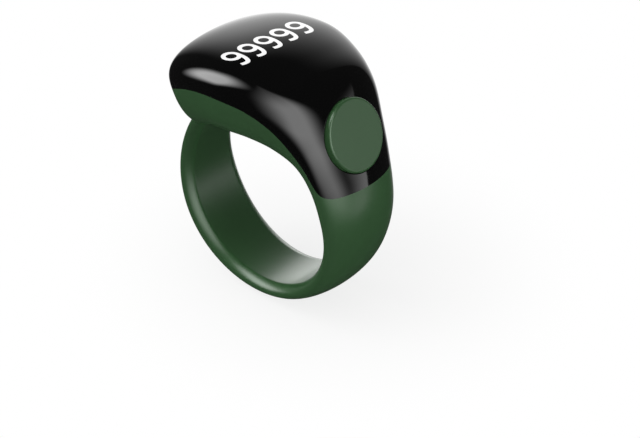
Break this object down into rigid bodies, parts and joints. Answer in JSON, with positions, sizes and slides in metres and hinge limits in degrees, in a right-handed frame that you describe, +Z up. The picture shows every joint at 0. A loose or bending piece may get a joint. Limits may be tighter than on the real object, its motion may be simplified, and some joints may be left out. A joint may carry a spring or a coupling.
{
  "type": "digital tally counter ring",
  "caption": "Finger-worn digital prayer counter: a ring with an overhanging rounded head, a dark gloss display cover and a round push button on the shoulder.",
  "frame": {"origin": "centre of the finger bore", "axes": "+Y along the finger bore, +X towards the push button, +Z up through the display"},
  "size_m": [0.025, 0.018, 0.0296],
  "materials": {
    "green_plastic": "satin moulded",
    "black_gloss": "high gloss",
    "silicone": "matte",
    "display_glass": "gloss",
    "clear_adhesive": "clear",
    "foam": "matte",
    "board": "solder mask",
    "chip": "moulded",
    "tinned_metal": "plated",
    "flex": "film",
    "battery_foil": "foil",
    "tape": "matte",
    "lead": "insulated",
    "motor_steel": "drawn",
    "weight_metal": "sintered",
    "gold_contact": "plated",
    "magnet": "plated",
    "spring_steel": "stamped",
    "switch_plastic": "moulded"
  },
  "bodies": {
    "ring": {"ring_body": "green_plastic", "top_cover": "black_gloss", "display_panel": "display_glass", "display_adhesive": "clear_adhesive", "display_foam": "foam", "display_flex": "flex", "main_board": "board", "controller_chip": "chip", "charger_chip": "chip", "crystal": "tinned_metal", "board_passives": "tinned_metal", "flex_connector": "switch_plastic", "battery_cell": "battery_foil", "battery_tape": "tape", "battery_leads": "lead", "motor_can": "motor_steel", "motor_endcap": "switch_plastic", "motor_boot": "silicone", "motor_shaft": "motor_steel", "motor_weight": "weight_metal", "motor_leads": "lead", "charge_pins": "gold_contact", "charge_magnets": "magnet", "switch_board": "board", "switch_flex": "flex", "switch_body": "switch_plastic", "switch_dome": "spring_steel", "button_seal": "silicone"},
    "button": {"button_cap": "green_plastic", "switch_plunger": "switch_plastic"}
  },
  "joints": [
    {"name": "button_press", "type": "slide", "parent": "ring", "child": "button", "axis": [-0.9205, 0, -0.3907], "range_m": [0, 0.00025], "stiffness_N_per_m": 6000, "deforming": ["switch_dome"]}
  ]
}
